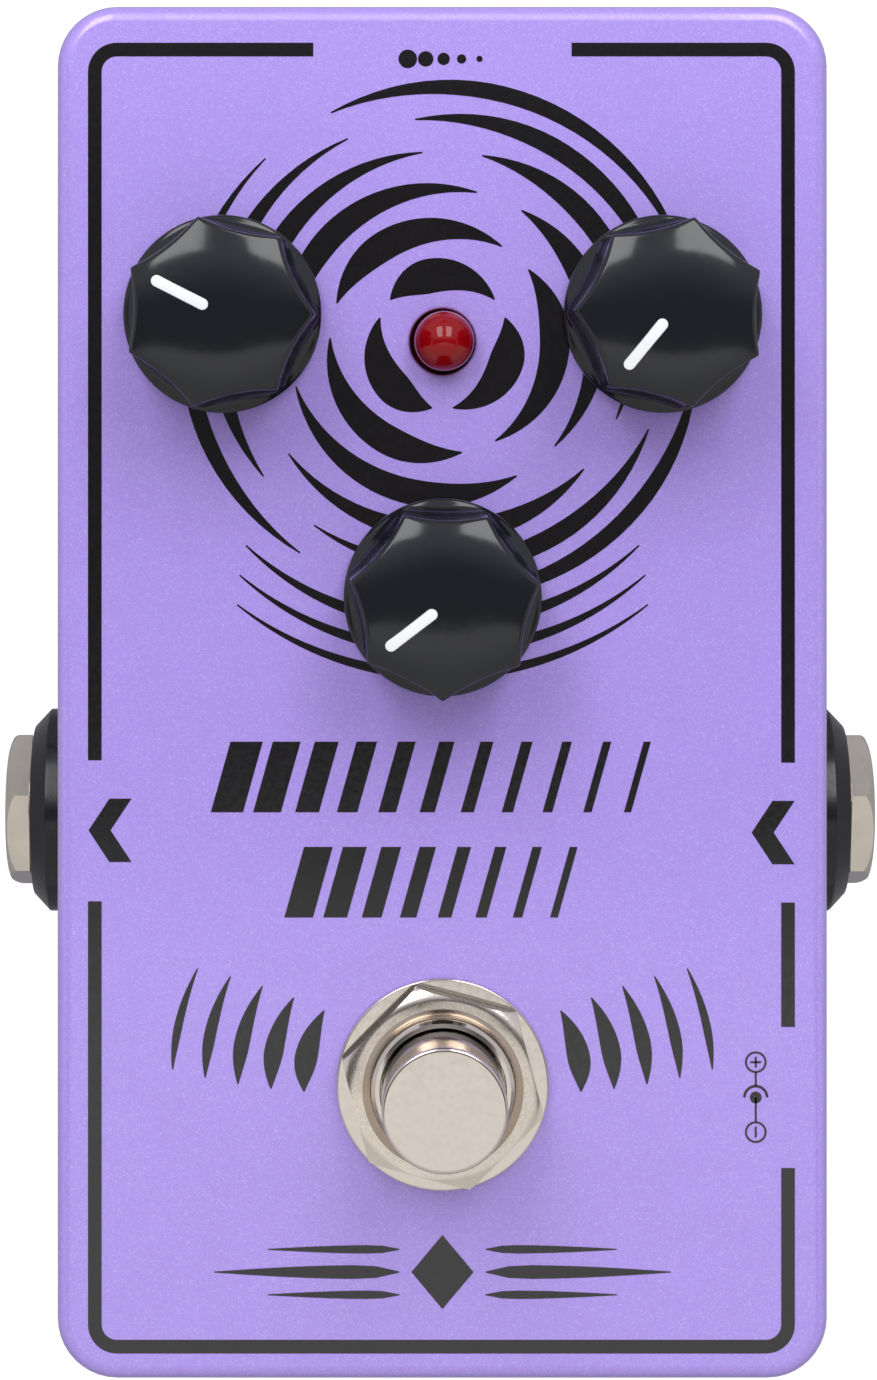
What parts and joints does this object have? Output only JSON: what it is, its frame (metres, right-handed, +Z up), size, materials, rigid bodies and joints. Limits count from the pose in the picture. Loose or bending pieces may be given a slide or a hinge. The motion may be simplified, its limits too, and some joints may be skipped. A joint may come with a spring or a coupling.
{
  "type": "guitar echo pedal",
  "caption": "Foot-operated echo pedal in a die-cast box, with fluted rotary knobs, an indicator light, a push foot switch, side audio jacks and a power socket.",
  "frame": {"origin": "on the floor, under the middle of the box, at the bottom of the feet", "axes": "+Z up, +Y to the back of the pedal (the end with the two upper knobs), +X to the player's right"},
  "size_m": [0.0766, 0.1162, 0.0515],
  "materials": {
    "box_paint": "satin with fine sparkle",
    "knob_black": "gloss",
    "pointer_white": "satin",
    "nickel": "polished",
    "bezel_black": "satin",
    "lens_red": "gloss",
    "foot_rubber": "matte",
    "zinc_steel": "satin",
    "spring_steel": "satin",
    "tinned_brass": "satin",
    "board_green": "satin",
    "part_black": "matte",
    "switch_blue": "satin",
    "film_red": "satin",
    "resistor_beige": "satin"
  },
  "bodies": {
    "case": {"amplifier_chips": "part_black", "base_plate": "box_paint", "base_screws": "zinc_steel", "dc_socket_body": "part_black", "dc_socket_contact": "tinned_brass", "dc_socket_pin": "nickel", "delay_chip": "part_black", "electrolytic_capacitors": "part_black", "enclosure": "box_paint", "film_capacitors": "film_red", "jack_board": "board_green", "led_leads": "tinned_brass", "led_lens": "lens_red", "left_jack_bezel": "bezel_black", "left_jack_body": "part_black", "left_jack_bushing": "nickel", "left_jack_contacts": "tinned_brass", "left_jack_nut": "nickel", "left_pot_body": "zinc_steel", "link_headers": "part_black", "link_pins": "tinned_brass", "main_board": "board_green", "middle_pot_body": "zinc_steel", "pot_bushings": "nickel", "pot_nuts": "nickel", "pot_terminals": "tinned_brass", "pot_washers": "nickel", "resistors": "resistor_beige", "right_jack_bezel": "bezel_black", "right_jack_body": "part_black", "right_jack_bushing": "nickel", "right_jack_contacts": "tinned_brass", "right_jack_nut": "nickel", "right_pot_body": "zinc_steel", "rubber_feet": "foot_rubber", "switch_bushing": "nickel", "switch_frame": "zinc_steel", "switch_housing": "switch_blue", "switch_lock_washer": "zinc_steel", "switch_lugs": "tinned_brass", "switch_nut": "nickel", "switch_spring": "spring_steel", "switch_washer": "nickel", "voltage_regulator": "part_black"},
    "left_control": {"left_knob": "knob_black", "left_pointer": "pointer_white", "left_shaft": "zinc_steel", "left_set_screw": "spring_steel"},
    "middle_control": {"middle_knob": "knob_black", "middle_pointer": "pointer_white", "middle_shaft": "zinc_steel", "middle_set_screw": "spring_steel"},
    "right_control": {"right_knob": "knob_black", "right_pointer": "pointer_white", "right_shaft": "zinc_steel", "right_set_screw": "spring_steel"},
    "foot_plunger": {"switch_plunger": "nickel", "switch_clip": "spring_steel"}
  },
  "joints": [
    {"name": "left_knob_turn", "type": "hinge", "parent": "case", "child": "left_control", "pos_m": [-0.01835, 0.0317, 0.0375], "axis": [0, 0, 1], "range_deg": [-213, 87]},
    {"name": "middle_knob_turn", "type": "hinge", "parent": "case", "child": "middle_control", "pos_m": [0, 0.0081, 0.0375], "axis": [0, 0, 1], "range_deg": [-277.6, 22.4]},
    {"name": "right_knob_turn", "type": "hinge", "parent": "case", "child": "right_control", "pos_m": [0.01835, 0.0317, 0.0375], "axis": [0, 0, 1], "range_deg": [-290.7, 9.3]},
    {"name": "foot_switch_press", "type": "slide", "parent": "case", "child": "foot_plunger", "axis": [0, 0, -1], "range_m": [0, 0.003], "stiffness_N_per_m": 2000, "springref_m": -0.002, "deforming": ["switch_spring"]}
  ]
}
